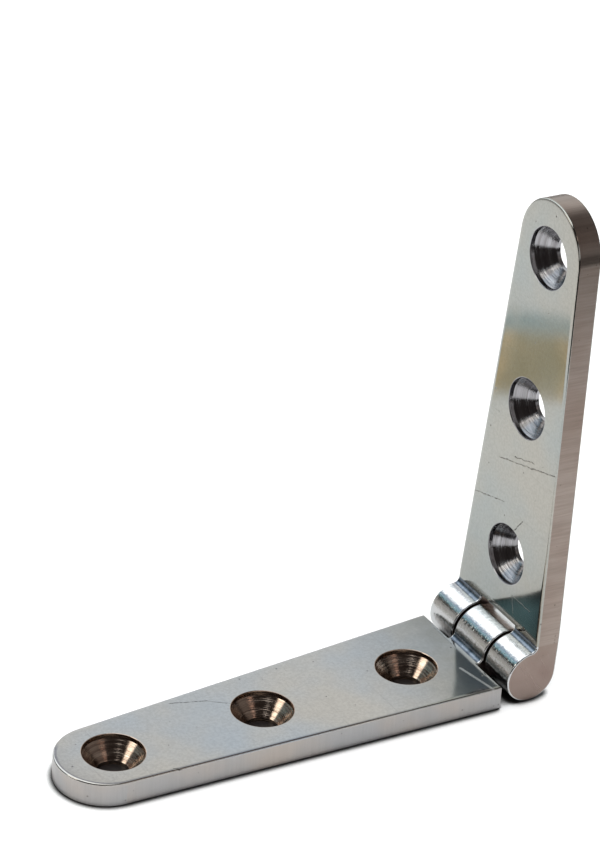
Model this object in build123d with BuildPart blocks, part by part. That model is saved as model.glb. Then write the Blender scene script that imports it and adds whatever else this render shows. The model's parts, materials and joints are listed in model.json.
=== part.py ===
"""Door hinge with two tapered solid leaves, three knuckles and a hidden pin.

Row frame, millimetres. The fixed leaf lies flat with its back face on Z = 0, the origin
is the middle screw hole of that leaf at the back face, +X runs along the leaf towards
the barrel, and the pin's axis is parallel to +Y. The swing leaf stands open at its rest
angle, with its countersunk side towards the fixed leaf.
"""

from build123d import *
import math
import os

# ---------------------------------------------------------------- driving dimensions

# both leaves share one outline
leaf_reach = 95.0        # pin axis to the end of the rounded tip
leaf_thickness = 5.0
root_width = 28.0        # width of a leaf at the barrel, and the length of the barrel
tip_radius = 9.7

# three countersunk screw holes in a line on each leaf
first_screw = 19.5       # pin axis to the nearest hole
screw_pitch = 32.0
screw_count = 3
screw_hole_diameter = 6.4
screw_head_diameter = 12.0
screw_head_recess = 1.0  # straight wall above the cone
screw_head_angle = 82.0
rim_break = 0.15         # small round on the rim of each recess

# barrel: one centre knuckle on the fixed leaf, two outer knuckles on the swing leaf
closed_gap = 0.8         # between the two countersunk faces when the hinge is shut
centre_knuckle = 10.2    # length along the pin
knuckle_gap = 0.8        # at each end of the centre knuckle
knuckle_fillet = 1.2     # hollow where a knuckle leaves the countersunk face

# pin, pressed in from the +Y end and stopped in a blind bore
pin_diameter = 5.0
pin_running_clearance = 0.05   # radial, in the centre knuckle
pin_end_wall = 2.0       # left closed at the -Y end
pin_end_gap = 0.3        # between the pin and the bottom of its bore
pin_end_chamfer = 0.4

edge_break = 0.3         # small round on every outside edge
rest_opening = 93.0      # angle between the leaves as modelled, 0 is shut
full_opening = 281.0     # where the root edges of the two leaves would meet behind
root_play = 0.15         # left between those root edges at full opening

# ---------------------------------------------------------------- worked-out dimensions

barrel_radius = leaf_thickness + closed_gap / 2
# The back root corners of the leaves meet on the line that halves the angle behind
# them, so the distance from the pin axis to a root edge follows from that angle.
angle_behind = math.radians(360 - full_opening)
root_line = barrel_radius / math.tan(angle_behind / 2) + root_play
knuckle_root = root_line + knuckle_fillet
half_root = root_width / 2
half_centre = centre_knuckle / 2
half_notch = half_centre + knuckle_gap
middle_screw = first_screw + screw_pitch * (screw_count - 1) / 2
axis_x = middle_screw
axis_z = barrel_radius
pin_radius = pin_diameter / 2
pin_length = root_width - pin_end_wall - pin_end_gap

# A leaf's own plane has its origin on the pin axis, its X along the leaf to the tip and
# its Z out of the countersunk face. The back face is tangent to the barrel.
back = -barrel_radius
front = back + leaf_thickness
swing_direction = math.radians(180 - rest_opening)
swing_plane = Plane(
    origin=(axis_x, 0, axis_z),
    x_dir=(math.cos(swing_direction), 0, math.sin(swing_direction)),
    z_dir=(-math.sin(swing_direction), 0, math.cos(swing_direction)),
)
fixed_plane = Plane(origin=(axis_x, 0, axis_z), x_dir=(-1, 0, 0), z_dir=(0, 0, 1))
pin_mouth = Plane(origin=(axis_x, half_root, axis_z), x_dir=(1, 0, 0), z_dir=(0, 1, 0))


# ---------------------------------------------------------------- shapes both leaves use


def leaf_plate(leaf_plane):
    """Flat plate with rounded edges: straight root, sides tangent to the round tip."""
    with BuildPart() as plate:
        with BuildSketch(leaf_plane.offset(back)):
            with Locations((root_line, 0)):
                Rectangle(knuckle_fillet, root_width, align=(Align.MIN, Align.CENTER))
            with Locations((leaf_reach - tip_radius, 0)):
                Circle(tip_radius)
            make_hull()
        extrude(amount=leaf_thickness)
        through = plate.faces().sort_by(Axis(leaf_plane.origin, leaf_plane.z_dir))
        fillet(through[0].edges() + through[-1].edges(), radius=edge_break)
    return plate.part


def knuckle(leaf_plane, start, end):
    """Comma-shaped knuckle from start to end along the pin, with rounded ends."""
    across = Plane(leaf_plane.origin, leaf_plane.x_dir, -leaf_plane.y_dir)
    leaf_normal = Axis(leaf_plane.origin, leaf_plane.z_dir)
    pin_axis = Axis(leaf_plane.origin, leaf_plane.y_dir)
    with BuildPart() as comma:
        with BuildSketch(across.offset(-end)) as section:
            Circle(barrel_radius)
            with Locations((0, back)):
                Rectangle(knuckle_root, leaf_thickness, align=Align.MIN)
            corner = section.vertices().filter_by(
                lambda v: abs(v.Y - front) < edge_break and 0 < v.X < root_line
            )
            fillet(corner, radius=knuckle_fillet)
        extrude(amount=end - start)
        along = comma.faces().filter_by(pin_axis).sort_by(pin_axis)
        rims = along[0].edges() + along[-1].edges()
        fillet(rims.filter_by(leaf_normal, reverse=True), radius=edge_break)
    return comma.part


def cut_screw_holes(leaf, leaf_plane):
    """Countersunk holes in a line, each with a short straight wall above its cone."""
    with Locations(leaf_plane.offset(front - screw_head_recess)):
        with Locations((middle_screw, 0)):
            with GridLocations(screw_pitch, 0, screw_count, 1):
                CounterSinkHole(
                    radius=screw_hole_diameter / 2,
                    counter_sink_radius=screw_head_diameter / 2,
                    depth=leaf_thickness,
                    counter_sink_angle=screw_head_angle,
                )
    leaf_normal = Axis(leaf_plane.origin, leaf_plane.z_dir)
    face = leaf.faces().filter_by(leaf_normal).sort_by(leaf_normal)[-1]
    fillet(face.inner_wires().edges(), radius=rim_break)


# ---------------------------------------------------------------- fixed leaf

fixed_plate = leaf_plate(fixed_plane)
fixed_knuckle = knuckle(fixed_plane, -half_centre, half_centre)

with BuildPart() as fixed_leaf:
    add(fixed_plate)
    add(fixed_knuckle)
    cut_screw_holes(fixed_leaf, fixed_plane)
    with Locations(pin_mouth):
        Hole(radius=pin_radius + pin_running_clearance, depth=root_width)

fixed_leaf.part.label = "fixed_leaf"

# ---------------------------------------------------------------- swing leaf

swing_plate = leaf_plate(swing_plane)
swing_knuckles = [
    knuckle(swing_plane, half_notch, half_root),
    knuckle(swing_plane, -half_root, -half_notch),
]

with BuildPart() as swing_leaf:
    add(swing_plate)
    add(swing_knuckles)
    cut_screw_holes(swing_leaf, swing_plane)
    with Locations(pin_mouth):
        Hole(radius=pin_radius, depth=root_width - pin_end_wall)

swing_leaf.part.label = "swing_leaf"

# ---------------------------------------------------------------- hinge pin

with BuildPart() as hinge_pin:
    with BuildSketch(pin_mouth):
        Circle(pin_radius)
    extrude(amount=-pin_length)
    chamfer(hinge_pin.edges().filter_by(GeomType.CIRCLE), length=pin_end_chamfer)

hinge_pin.part.label = "hinge_pin"

# ---------------------------------------------------------------- files

os.makedirs("parts", exist_ok=True)
export_step(fixed_leaf.part, "parts/fixed_leaf.step")
export_step(swing_leaf.part, "parts/swing_leaf.step")
export_step(hinge_pin.part, "parts/hinge_pin.step")
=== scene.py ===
# %% [markdown]
# A door hinge with two tapered leaves of solid plated steel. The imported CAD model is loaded
# first and stays fixed: it says where the pin lies, how the leaves stand and how large each
# part is. The leaves are then made again as smooth surfaces, because bright metal shows
# every flat facet of a coarse mesh in its reflections. Sizes below are in millimetres, and
# two lengths that differ by less than TOUCH count as one.

# %% The frame
import json
import math

import bpy
import numpy as np
from mathutils import Matrix, Vector


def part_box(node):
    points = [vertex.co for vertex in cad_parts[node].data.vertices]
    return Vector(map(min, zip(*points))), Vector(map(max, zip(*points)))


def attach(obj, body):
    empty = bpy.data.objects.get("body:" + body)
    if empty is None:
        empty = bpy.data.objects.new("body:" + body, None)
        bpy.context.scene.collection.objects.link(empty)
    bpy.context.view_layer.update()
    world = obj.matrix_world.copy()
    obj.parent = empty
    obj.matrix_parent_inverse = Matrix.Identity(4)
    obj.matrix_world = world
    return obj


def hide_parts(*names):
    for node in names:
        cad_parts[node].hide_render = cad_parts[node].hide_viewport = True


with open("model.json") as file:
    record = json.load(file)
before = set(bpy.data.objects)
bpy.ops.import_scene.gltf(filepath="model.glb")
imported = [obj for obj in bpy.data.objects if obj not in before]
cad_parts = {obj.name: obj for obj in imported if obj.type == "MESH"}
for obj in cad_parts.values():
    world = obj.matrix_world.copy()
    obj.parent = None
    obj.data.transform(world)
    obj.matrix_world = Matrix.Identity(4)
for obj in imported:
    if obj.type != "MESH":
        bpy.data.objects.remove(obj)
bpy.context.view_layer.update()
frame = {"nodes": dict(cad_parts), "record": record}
MM = 0.001
TOUCH = 1e-6

# %% [markdown]
# Every size that the CAD model can give is measured from it, in millimetres: the pin's place
# and the swing come from the joint, the screw holes from the mounts, and the barrel and the
# reach of a leaf from the fixed leaf's box. The small rounds, hollows and recesses are named
# here, because a box or a mount doesn't hold them.

# %% Sizes in millimetres
mounts = {mount["name"]: mount for mount in frame["record"]["mounts"]}
hinge_joint = frame["record"]["behaviour"]["joints"][0]
pin_point = np.array(hinge_joint["pos_m"]) / MM
pin_axis = np.array(hinge_joint["axis"], dtype=float)
rest_opening = -hinge_joint["range_deg"][0]
full_opening = rest_opening + hinge_joint["range_deg"][1]

fixed_low, fixed_high = (np.array(corner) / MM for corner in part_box("fixed_leaf"))
barrel_radius = pin_point[2]
half_width = (fixed_high[1] - fixed_low[1]) / 2
leaf_reach = round(pin_point[0] - fixed_low[0], 1)
hole_radius = mounts["fixed_middle_screw"]["dims"]["r_mm"]
screw_pitch = mounts["fixed_end_screws"]["dims"]["spacing_x_mm"] / 2

leaf_thickness = 5.0
tip_radius = 9.7
edge_round = 0.3
head_radius = 6.0
head_recess = 1.0
head_angle = 82.0
rim_round = 0.15
hollow_radius = 1.2
half_centre = 5.1
knuckle_gap = 0.8
root_play = 0.15
pin_radius = 2.5
running_clearance = 0.05
blind_end = 2.0

root_line = barrel_radius / math.tan(math.radians(360 - full_opening) / 2) + root_play
taper_start = root_line + hollow_radius
back = -barrel_radius
front = back + leaf_thickness
print("barrel radius", barrel_radius, "reach", leaf_reach, "root line", root_line)

# %% [markdown]
# Both leaves have one shape, so it is worked out once in a leaf's own directions: s runs from
# the pin's axis to the tip, y along the pin, and h out of the countersunk face. A surface is a
# patch: a grid of points with the true outward direction at each point. The patches share
# their border points, so joining equal points closes the leaf, and the true directions give
# clean reflections on flats, rounds and cones alike. A second vector at each point says how
# the metal was worked there, so that machining lines can follow the surface.

# %% Patches
FACE, SIDE, BARREL, SINK, END, HOLLOW = range(6)
UP = np.array([0.0, 0.0, 1.0])
BACK_MARK = 50.0


def side_mark(sign):
    """Third working coordinate of a face: 0 in front, far from that behind."""
    return 0.0 if sign > 0 else BACK_MARK


def stack(s, y, h):
    """Points (s, y, h) from three arrays of any shapes that fit one another."""
    return np.stack(np.broadcast_arrays(s, y, h), axis=-1).astype(float)


def column(values):
    """Numbers as a column, so that they combine with a row of others."""
    return np.asarray(values, dtype=float)[:, None]


def patch(points, outward, grain, finish):
    """One grid of points with outward directions, the working coordinate and a finish."""
    outward = np.broadcast_to(outward, points.shape)
    grain = np.broadcast_to(grain, points.shape)
    return {"points": points, "outward": outward, "grain": grain, "finish": finish}


def face_patch(s, y, h, sign):
    """A level stretch of a broad face at height h: sign 1 at the front, -1 at the back."""
    return patch(stack(s, y, h), sign * UP, stack(s, y, side_mark(sign)), FACE)


print("numbers of the finishes", FACE, SIDE, BARREL, SINK, END, HOLLOW)

# %% [markdown]
# Triangles come from the grids. Each grid cell gives two, and each is turned so that it faces
# the way its points' directions say. To join patches, points are rounded to a grid of a
# thousandth of a millimetre and equal ones become one; a cell that has shrunk to a line, as
# at the middle of a fan, drops out. A closed solid has exactly two triangles on every edge,
# which is counted as a test.

# %% Joining patches
WELD = 0.001
WELD_SHIFT = 0.000271828


def triangles(piece):
    """Corners of two triangles per grid cell, turned so that they face outward."""
    rows, columns = piece["points"].shape[:2]
    number = np.arange(rows * columns).reshape(rows, columns)
    a, b = number[:-1, :-1].ravel(), number[:-1, 1:].ravel()
    c, d = number[1:, 1:].ravel(), number[1:, :-1].ravel()
    corners = np.concatenate([np.stack([a, b, c], 1), np.stack([a, c, d], 1)])
    p = piece["points"].reshape(-1, 3)[corners]
    n = piece["outward"].reshape(-1, 3)[corners].sum(1)
    turn = np.einsum("ij,ij->i", np.cross(p[:, 1] - p[:, 0], p[:, 2] - p[:, 0]), n) < 0
    corners[turn] = corners[turn][:, ::-1]
    return corners


def joined(patches):
    """All patches as one mesh: equal points become one, empty triangles go."""
    points, outward, grain, corners, finish = [], [], [], [], []
    first = 0
    for piece in patches:
        found = triangles(piece)
        points.append(piece["points"].reshape(-1, 3))
        outward.append(piece["outward"].reshape(-1, 3))
        grain.append(piece["grain"].reshape(-1, 3))
        corners.append(found + first)
        finish.append(np.full(len(found), piece["finish"]))
        first += len(points[-1])
    points, outward, grain = (np.concatenate(part) for part in (points, outward, grain))
    corners, finish = np.concatenate(corners), np.concatenate(finish)
    # The shift keeps round numbers away from the limit between two steps of the grid.
    steps = np.round((points + WELD_SHIFT) / WELD).astype(int)
    _, keep, same = np.unique(steps, axis=0, return_index=True, return_inverse=True)
    same = same.ravel()
    merged = same[corners]
    full = (merged != np.roll(merged, 1, axis=1)).all(1)
    return points[keep], merged[full], outward[corners[full]], grain[corners[full]], finish[full]


def open_edges(corners):
    """How many edges don't have exactly two triangles: none on a closed solid."""
    sides = np.concatenate([corners[:, pair] for pair in ([0, 1], [1, 2], [2, 0])])
    _, count = np.unique(np.sort(sides, 1), axis=0, return_counts=True)
    return int((count != 2).sum())


square = face_patch([[0.0], [1.0]], [0.0, 1.0], 0.0, 1)
print("a square of four points gives", len(triangles(square)), "triangles")

# %% [markdown]
# The plan of a leaf is a straight root, two short straight sides, two tapering sides and a
# round tip. All edges carry a small round, so the flat faces end a little inside this plan.
# The taper touches the tip's circle. Its angle is that of the line from the tip's centre to
# the corner, less the angle whose cosine is the tip's radius over that line's length.

# %% Plan of a leaf
tip_centre = leaf_reach - tip_radius
to_corner = np.array([taper_start - tip_centre, half_width])
corner_angle = math.atan2(to_corner[1], to_corner[0])
taper_angle = corner_angle - math.acos(tip_radius / math.hypot(*to_corner))
taper_normal = np.array([math.cos(taper_angle), math.sin(taper_angle)])

flat_root = root_line + edge_round
flat_side = half_width - edge_round
flat_tip = tip_radius - edge_round
flat_kink = tip_centre + (flat_tip - taper_normal[1] * flat_side) / taper_normal[0]
flat_tangent = tip_centre + flat_tip * taper_normal[0]

to_screw = np.array(mounts["swing_middle_screw"]["pos_m"]) / MM - pin_point
middle_screw = math.sqrt(np.linalg.norm(to_screw[[0, 2]]) ** 2 - back**2)
holes = middle_screw + screw_pitch * np.array([-1.0, 0.0, 1.0])
borders = [flat_root, *(holes[:-1] + holes[1:]) / 2, leaf_reach]


def side_of_flat(s):
    """Half-width of the flat face at s: straight side, taper, then the tip's circle."""
    s = np.asarray(s, dtype=float)
    taper = (flat_tip - taper_normal[0] * (s - tip_centre)) / taper_normal[1]
    return np.minimum(taper, flat_side)


print("taper leans", round(90 - math.degrees(taper_angle), 2), "degrees, screws at", np.round(holes, 2))

# %% [markdown]
# Each screw hole has its own cell of the flat face: a fan of lines from the hole's rim out to
# the border of the cell. How far the border lies along each line follows from the straight
# lines and the circle of the plan. A grid that runs round a hole keeps its rim smooth, which
# a square grid with a hole cut into it wouldn't.

# %% Fans round the holes
FAN_STEPS = 144


def reach_to_border(centre, angles, near, far):
    """Distance from a hole's centre to its cell's border along each angle.

    It is the least of the distances to the near and far limits of the cell, the straight
    side and the taper, and past the end of the taper the distance to the tip's circle.
    """
    step_s, step_y = np.cos(angles), np.abs(np.sin(angles))
    with np.errstate(divide="ignore", invalid="ignore"):
        limits = [
            np.where(step_s < 0, (near - centre) / step_s, np.inf),
            np.where(step_s > 0, (far - centre) / step_s, np.inf),
            np.where(step_y > 0, flat_side / step_y, np.inf),
        ]
        toward = taper_normal[0] * step_s + taper_normal[1] * step_y
        taper = (flat_tip - taper_normal[0] * (centre - tip_centre)) / toward
    taper = np.where(toward > 0, taper, np.inf)
    shift = centre - tip_centre
    arc = -shift * step_s + np.sqrt(flat_tip**2 - (shift * step_y) ** 2 + 0j).real
    taper = np.where(centre + taper * step_s > flat_tangent, arc, taper)
    return np.minimum.reduce([*limits, taper])


def fan_angles(centre, corners):
    """Even angles round a hole, plus those of the border's corners on both sides."""
    even = np.arange(FAN_STEPS) * 2 * math.pi / FAN_STEPS
    exact = np.array([math.atan2(y, s - centre) for s, y in corners])
    exact = np.concatenate([exact, -exact]) % (2 * math.pi)
    apart = np.abs((even[:, None] - exact + math.pi) % (2 * math.pi) - math.pi).min(1)
    clear = apart > 0.3 * math.pi / FAN_STEPS
    angles = np.sort(np.concatenate([even[clear], exact]))
    return angles[np.append(np.diff(angles) > 1e-9, True)]


def leaf_cells(knuckle_ends):
    """For each hole the fan's angles and its points on the border of the flat face."""
    cells = []
    for number, centre in enumerate(holes):
        near, far = borders[number], borders[number + 1]
        corners = [(near, float(side_of_flat(near)))]
        if number == 0:
            corners += [(near, y) for y in knuckle_ends] + [(flat_kink, flat_side)]
        if number == len(holes) - 1:
            corners.append((flat_tangent, float(side_of_flat(flat_tangent))))
            far = leaf_reach + tip_radius
        else:
            corners.append((far, float(side_of_flat(far))))
        angles = fan_angles(centre, corners)
        reach = reach_to_border(centre, angles, near, far)
        border = np.stack([centre + reach * np.cos(angles), reach * np.sin(angles)], 1)
        cells.append({"centre": centre, "angles": angles, "border": border})
    return cells


print("lines in the fans", [len(cell["angles"]) for cell in leaf_cells([])])

# %% [markdown]
# Round the plan runs the edge: a quarter round at the front, the side wall, and a quarter
# round at the back. It is carried along runs of border points. A run has a direction out of
# the edge at each point, and at its two ends an offset, which at a corner is the mitre of the
# two walls that meet there. Inside corners, where a knuckle leaves the root, work the same way.

# %% Edges
ROUND_STEPS = 6
WALL_STEPS = 6
turn = np.linspace(math.pi / 2, 0, ROUND_STEPS + 1)[:, None]
wall_h = np.linspace(front - edge_round, back + edge_round, WALL_STEPS + 1)


def way_along(points):
    """Distance covered from the first point to each point."""
    return np.concatenate([[0], np.cumsum(np.linalg.norm(np.diff(points, axis=0), axis=1))])


def run(points, normals, start=None, end=None):
    """A stretch of edge: border points, directions out, and the mitre offsets at its ends."""
    points = np.asarray(points, dtype=float)
    normals = np.broadcast_to(np.asarray(normals, dtype=float), points.shape).copy()
    offsets = normals.copy()
    if start is not None:
        offsets[0] = start
    if end is not None:
        offsets[-1] = end
    return {"points": points, "normals": normals, "offsets": offsets, "length": way_along(points)}


def mitre(a, b):
    """Offset of a corner between two walls: the sum of their directions over 1 + cosine."""
    a, b = np.asarray(a, dtype=float), np.asarray(b, dtype=float)
    return (a + b) / (1 + a @ b)


def edge_round_patch(edge, face, sign):
    """Quarter round from the flat face (sign 1 front, -1 back) down to the wall.

    The point moves out by the cosine and down by one minus the sine of the turn.
    """
    out = edge_round * np.cos(turn)[..., None] * edge["offsets"]
    plan = edge["points"] + out
    h = face - sign * edge_round * (1 - np.sin(turn)) + 0 * plan[..., 0]
    points = stack(plan[..., 0], plan[..., 1], h)
    flat = np.cos(turn)[..., None] * edge["normals"]
    outward = stack(flat[..., 0], flat[..., 1], sign * np.sin(turn) + 0 * h)
    return patch(points, outward, stack(plan[..., 0], plan[..., 1], side_mark(sign)), FACE)


def wall_patch(edge):
    """The wall between the two rounds, straight up and down."""
    plan = edge["points"] + edge_round * edge["offsets"]
    points = stack(plan[:, 0], plan[:, 1], wall_h[:, None])
    outward = stack(edge["normals"][:, 0], edge["normals"][:, 1], 0 * wall_h[:, None])
    grain = stack(edge["length"], wall_h[:, None], 0)
    return patch(points, outward, grain, SIDE)


def whole_edge(edge):
    """Front round, wall and back round of one run."""
    return [edge_round_patch(edge, front, 1), wall_patch(edge), edge_round_patch(edge, back, -1)]


print("edge round", edge_round, "mm in", ROUND_STEPS, "steps; wall in", WALL_STEPS)

# %% [markdown]
# A screw hole is a surface turned about its own axis: a tiny round on the rim, a short
# straight wall, the cone for the screw's head, and the straight hole that is left at the back.
# The working coordinate counts the way down the profile, so that a cutter's rings can follow
# it, and starts somewhere else for each hole, so that no two holes have the same rings.

# %% Screw holes
WALL_WAY = [0.3, 1.2]
BORE_WAY = [6.0, 6.8]
HOLE_SHIFT = 20.0
CONE_ROWS = 9


def turned_patch(centre, angles, radii, heights, normal_r, normal_h, along, number):
    """Profile (radius, height) turned about a hole's axis.

    A point is the centre plus the radius times (cosine, sine) of the angle. along is the way
    down the profile.
    """
    closed = np.append(angles, angles[0] + 2 * math.pi)
    cos, sin = np.cos(closed), np.sin(closed)
    radii, normal_r = column(radii), column(normal_r)
    points = stack(centre + radii * cos, radii * sin, column(heights))
    outward = stack(normal_r * cos, normal_r * sin, column(normal_h) + 0 * closed)
    grain = stack(cos, sin, column(along) + HOLE_SHIFT * number)
    return patch(points, outward, grain, SINK)


def screw_hole(cell, number):
    """Rim round, recess wall, cone and straight hole, each with its own directions."""
    lean = math.radians(head_angle / 2)
    cone_top = front - head_recess
    cone_foot = cone_top - (head_radius - hole_radius) / math.tan(lean)
    bend = np.linspace(math.pi / 2, 0, 5)
    args = cell["centre"], cell["angles"]
    rim = turned_patch(
        *args,
        head_radius + rim_round * (1 - np.cos(bend)),
        front - rim_round * (1 - np.sin(bend)),
        -np.cos(bend),
        np.sin(bend),
        rim_round * (math.pi / 2 - bend),
        number,
    )
    lip = turned_patch(
        *args, [head_radius] * 2, [front - rim_round, cone_top], [-1, -1], [0, 0], WALL_WAY, number
    )
    share = np.linspace(0, 1, CONE_ROWS)
    cone = turned_patch(
        *args,
        head_radius + (hole_radius - head_radius) * share,
        cone_top + (cone_foot - cone_top) * share,
        [-math.cos(lean)] * CONE_ROWS,
        [math.sin(lean)] * CONE_ROWS,
        WALL_WAY[1] + share * (head_radius - hole_radius) / math.sin(lean),
        number,
    )
    bore = turned_patch(
        *args, [hole_radius] * 2, [cone_foot, back], [-1, -1], [0, 0], BORE_WAY, number
    )
    return [rim, lip, cone, bore]


cone_depth = (head_radius - hole_radius) / math.tan(math.radians(head_angle / 2))
print("cone", round(cone_depth, 2), "mm deep, under a wall of", head_recess, "mm")

# %% [markdown]
# A knuckle is shaped like a comma: its back runs flat from the leaf and is tangent to the
# barrel, and its front leaves the leaf in a small hollow. The outline is carried along the
# pin, with a small round at both ends, and the end faces reach in to the pin's bore.

# %% Knuckles
hollow_centre = np.array([0.0, front + hollow_radius])
hollow_centre[0] = math.sqrt((barrel_radius + hollow_radius) ** 2 - hollow_centre[1] ** 2)
hollow_turn = math.atan2(hollow_centre[1], hollow_centre[0])
hollow_foot = hollow_centre[0]
HOLLOW_ROWS = 21
BARREL_ROWS = 105
TAIL_POINTS = 10


def comma_outline():
    """Points (s, h) and directions out: hollow from the leaf, then round the barrel.

    The hollow is an arc whose centre lies outside the metal; the barrel is an arc about the
    pin's axis from the hollow over the top to the tangent point under the axis.
    """
    a = np.linspace(1.5 * math.pi, math.pi + hollow_turn, HOLLOW_ROWS)
    b = np.linspace(hollow_turn, 1.5 * math.pi, BARREL_ROWS)
    round_hollow = np.stack([np.cos(a), np.sin(a)], 1)
    round_pin = np.stack([np.cos(b), np.sin(b)], 1)
    hollow = hollow_centre + hollow_radius * round_hollow
    barrel = barrel_radius * round_pin
    normals = np.concatenate([-round_hollow, round_pin[1:]])
    return np.concatenate([hollow, barrel[1:]]), normals


outline, outline_normal = comma_outline()
outline_length = way_along(outline)
tail = np.linspace(0, hollow_foot, TAIL_POINTS)


def knuckle(low, high, bore, root_y, outer_low, outer_high, floor=None):
    """One knuckle between its ends low and high along the pin.

    outer_low and outer_high say that an end is flush with the side of the leaf. floor is the
    depth where a blind bore stops.
    """
    made = []
    inner = np.array([low + edge_round, high - edge_round])
    y = root_y[(root_y > inner[0] - TOUCH) & (root_y < inner[1] + TOUCH)]
    parts = ((slice(None, HOLLOW_ROWS), HOLLOW), (slice(HOLLOW_ROWS - 1, None), BARREL))
    for part, finish in parts:
        points = stack(outline[part, :1], y, outline[part, 1:])
        outward = stack(outline_normal[part, :1], 0 * y, outline_normal[part, 1:])
        made.append(patch(points, outward, stack(outline_length[part, None], y, 0), finish))
    made.append(face_patch([[hollow_foot], [flat_root]], y, front, 1))
    made.append(face_patch(column(np.append(tail, flat_root)), y, back, -1))
    for end, sign, outer in ((low, -1, outer_low), (high, 1, outer_high)):
        edge_y = end - sign * edge_round
        corner = (0, sign) if outer else (-1, sign)
        neck = run([[flat_root, edge_y], [hollow_foot, edge_y]], [0, sign], start=corner)
        made += whole_edge(neck)
        foot = run(stack(tail[::-1], edge_y, 0)[:, :2], [0, sign])
        made.append(edge_round_patch(foot, back, -1))
        inset = outline - edge_round * (1 - np.sin(turn))[..., None] * outline_normal
        rim_y = edge_y + sign * edge_round * np.cos(turn)
        points = stack(inset[..., 0], rim_y, inset[..., 1])
        out_s, out_h = np.sin(turn) * outline_normal[:, 0], np.sin(turn) * outline_normal[:, 1]
        outward = stack(out_s, sign * np.cos(turn), out_h)
        made.append(patch(points, outward, stack(outline_length, rim_y, 0), BARREL))
        loop = np.concatenate(
            [
                inset[-1][::-1],
                np.stack([np.full(WALL_STEPS, hollow_foot), wall_h[1:]], 1),
                np.stack([tail[::-1][1:], np.full(len(tail) - 1, back + edge_round)], 1),
            ]
        )
        around = np.arctan2(loop[:, 1], loop[:, 0])
        open_here = floor is None or end == high
        ring = (bore if open_here else 0) * np.stack([np.cos(around), np.sin(around)], 1)
        s, h = np.moveaxis(np.stack([ring, loop]), -1, 0)
        made.append(patch(stack(s, end, h), [0, sign, 0], stack(s, h, end), END))
    bore_y = column([low if floor is None else floor, high])
    cos, sin = np.cos(around), np.sin(around)
    outward = stack(-cos, 0 * bore_y, -sin)
    made.append(patch(stack(bore * cos, bore_y, bore * sin), outward, stack(bore * cos, bore_y, 0), END))
    if floor is not None:
        s, h = column([0, bore]) * cos, column([0, bore]) * sin
        made.append(patch(stack(s, floor, h), [0, 1, 0], stack(s, h, 0), END))
    return made


print("way round a knuckle", round(outline_length[-1], 2), "mm, hollow's foot at", round(hollow_foot, 2))

# %% [markdown]
# The outer edge of a leaf is taken from the fans' border points, so that face and edge share
# every point: two straight sides, two tapers and the tip's circle, each as one run.

# %% Runs round a leaf
def side_runs(cells, root_mitre):
    """The edge from the root round the tip, as runs: straight sides, tapers and the tip."""
    border = np.concatenate([cell["border"] for cell in cells])
    on_side = np.isclose(np.abs(border[:, 1]), side_of_flat(border[:, 0]), atol=TOUCH)
    s = border[(border[:, 1] > 0) & on_side & (border[:, 0] < flat_tangent + TOUCH), 0]
    s = np.unique(np.round(s, 9))
    kink_mitre = mitre([0, 1], taper_normal)
    straight, taper = s[s < flat_kink + TOUCH], s[s > flat_kink - TOUCH]
    runs = []
    for sign in (1, -1):
        mirror = np.array([1, sign])
        start = None if root_mitre is None else mirror * root_mitre
        points = stack(straight, sign * side_of_flat(straight), 0)[:, :2]
        runs.append(run(points, mirror * [0, 1], start=start, end=mirror * kink_mitre))
        points = stack(taper, sign * side_of_flat(taper), 0)[:, :2]
        runs.append(run(points, mirror * taper_normal, start=mirror * kink_mitre))
    last = cells[-1]["border"]
    tip = last[(last[:, 0] > flat_tangent - TOUCH) & ~np.isclose(last[:, 0], borders[-2])]
    tip = tip[np.argsort(np.arctan2(tip[:, 1], tip[:, 0] - tip_centre))]
    runs.append(run(tip, (tip - [tip_centre, 0]) / flat_tip))
    return runs


around_leaf = side_runs(leaf_cells([]), None)
print("lengths of the runs", [round(float(edge["length"][-1]), 2) for edge in around_leaf])

# %% [markdown]
# A whole leaf is then the sum of its parts: the fans of both flat faces, the screw holes, the
# side edges, the tip, the stretches of root that carry no knuckle, and the knuckles. The
# fixed leaf has one knuckle in the middle, the swinging leaf one at each end of the barrel.

# %% All patches of a leaf
FAN_ROWS = 4


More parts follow.
